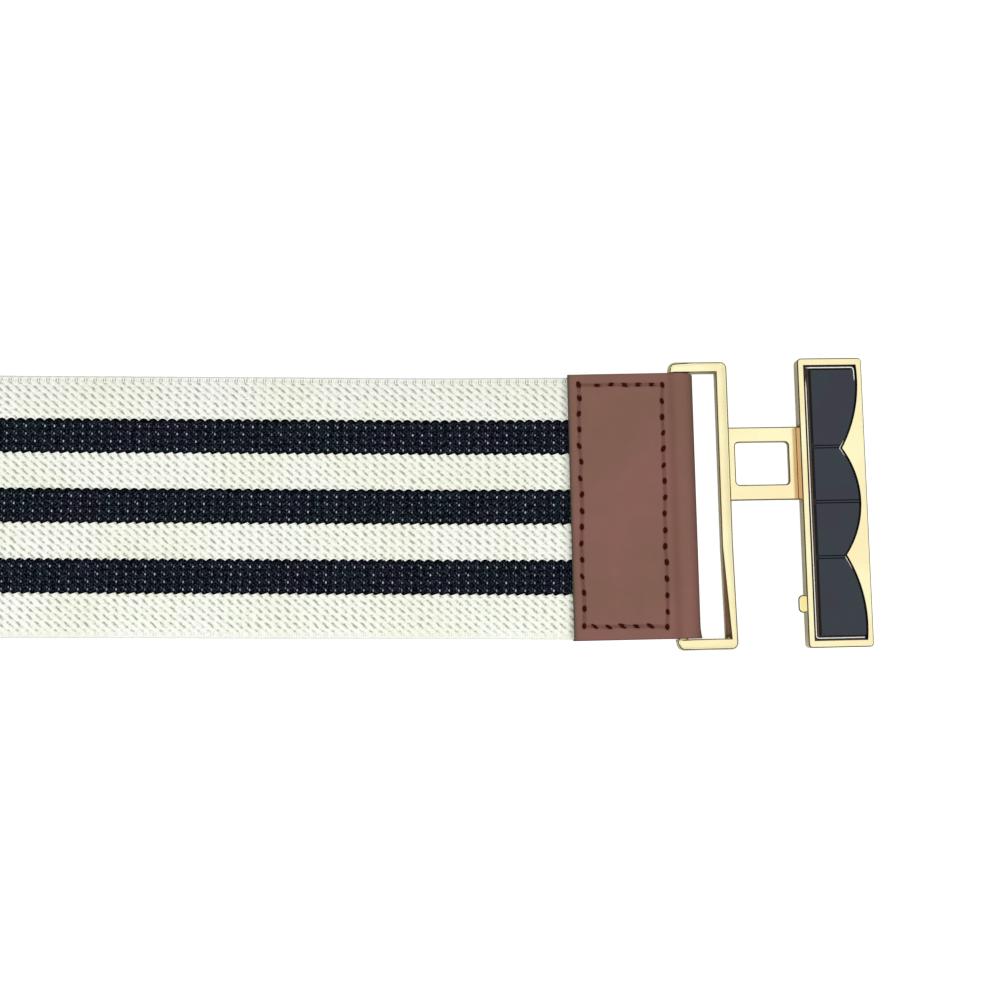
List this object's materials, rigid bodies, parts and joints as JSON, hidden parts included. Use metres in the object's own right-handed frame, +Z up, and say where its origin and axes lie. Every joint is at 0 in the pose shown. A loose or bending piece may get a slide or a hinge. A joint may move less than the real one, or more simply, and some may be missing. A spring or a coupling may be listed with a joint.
{
  "type": "wide elastic belt",
  "caption": "Wide striped elastic waist belt laid flat, with leather end tabs and an interlocking two-part cast clasp with enamel inlays.",
  "frame": {"origin": "centre of the belt's footprint on the surface that it lies on", "axes": "+X along the belt towards the end that the picture shows, +Y across its width, +Z up out of its front"},
  "size_m": [0.8426, 0.0654, 0.0054],
  "materials": {
    "webbing": "woven cream elastic with raised navy stripes",
    "leather": "smooth brown leather, soft sheen",
    "clasp_metal": "polished pale gold plating on a zinc casting",
    "enamel": "glossy dark slate enamel",
    "thread": "fine dark brown sewing thread"
  },
  "bodies": {
    "belt": {"webbing": "webbing", "webbing_end_right": "webbing", "webbing_end_left": "webbing", "leather_tab_right": "leather", "leather_tab_left": "leather"},
    "buckle_right": {"buckle_frame_right": "clasp_metal", "enamel_inlay_right": "enamel"},
    "buckle_left": {"buckle_frame_left": "clasp_metal", "enamel_inlay_left": "enamel"}
  },
  "joints": [
    {"name": "buckle_right_swing", "type": "hinge", "parent": "belt", "child": "buckle_right", "pos_m": [0.38009, 0.00059, 0.0027], "axis": [0.0253, -0.9997, 0], "range_deg": [-145, 145]},
    {"name": "buckle_left_swing", "type": "hinge", "parent": "belt", "child": "buckle_left", "pos_m": [-0.38009, -0.00059, 0.0027], "axis": [-0.0253, 0.9997, 0], "range_deg": [-145, 145]}
  ]
}
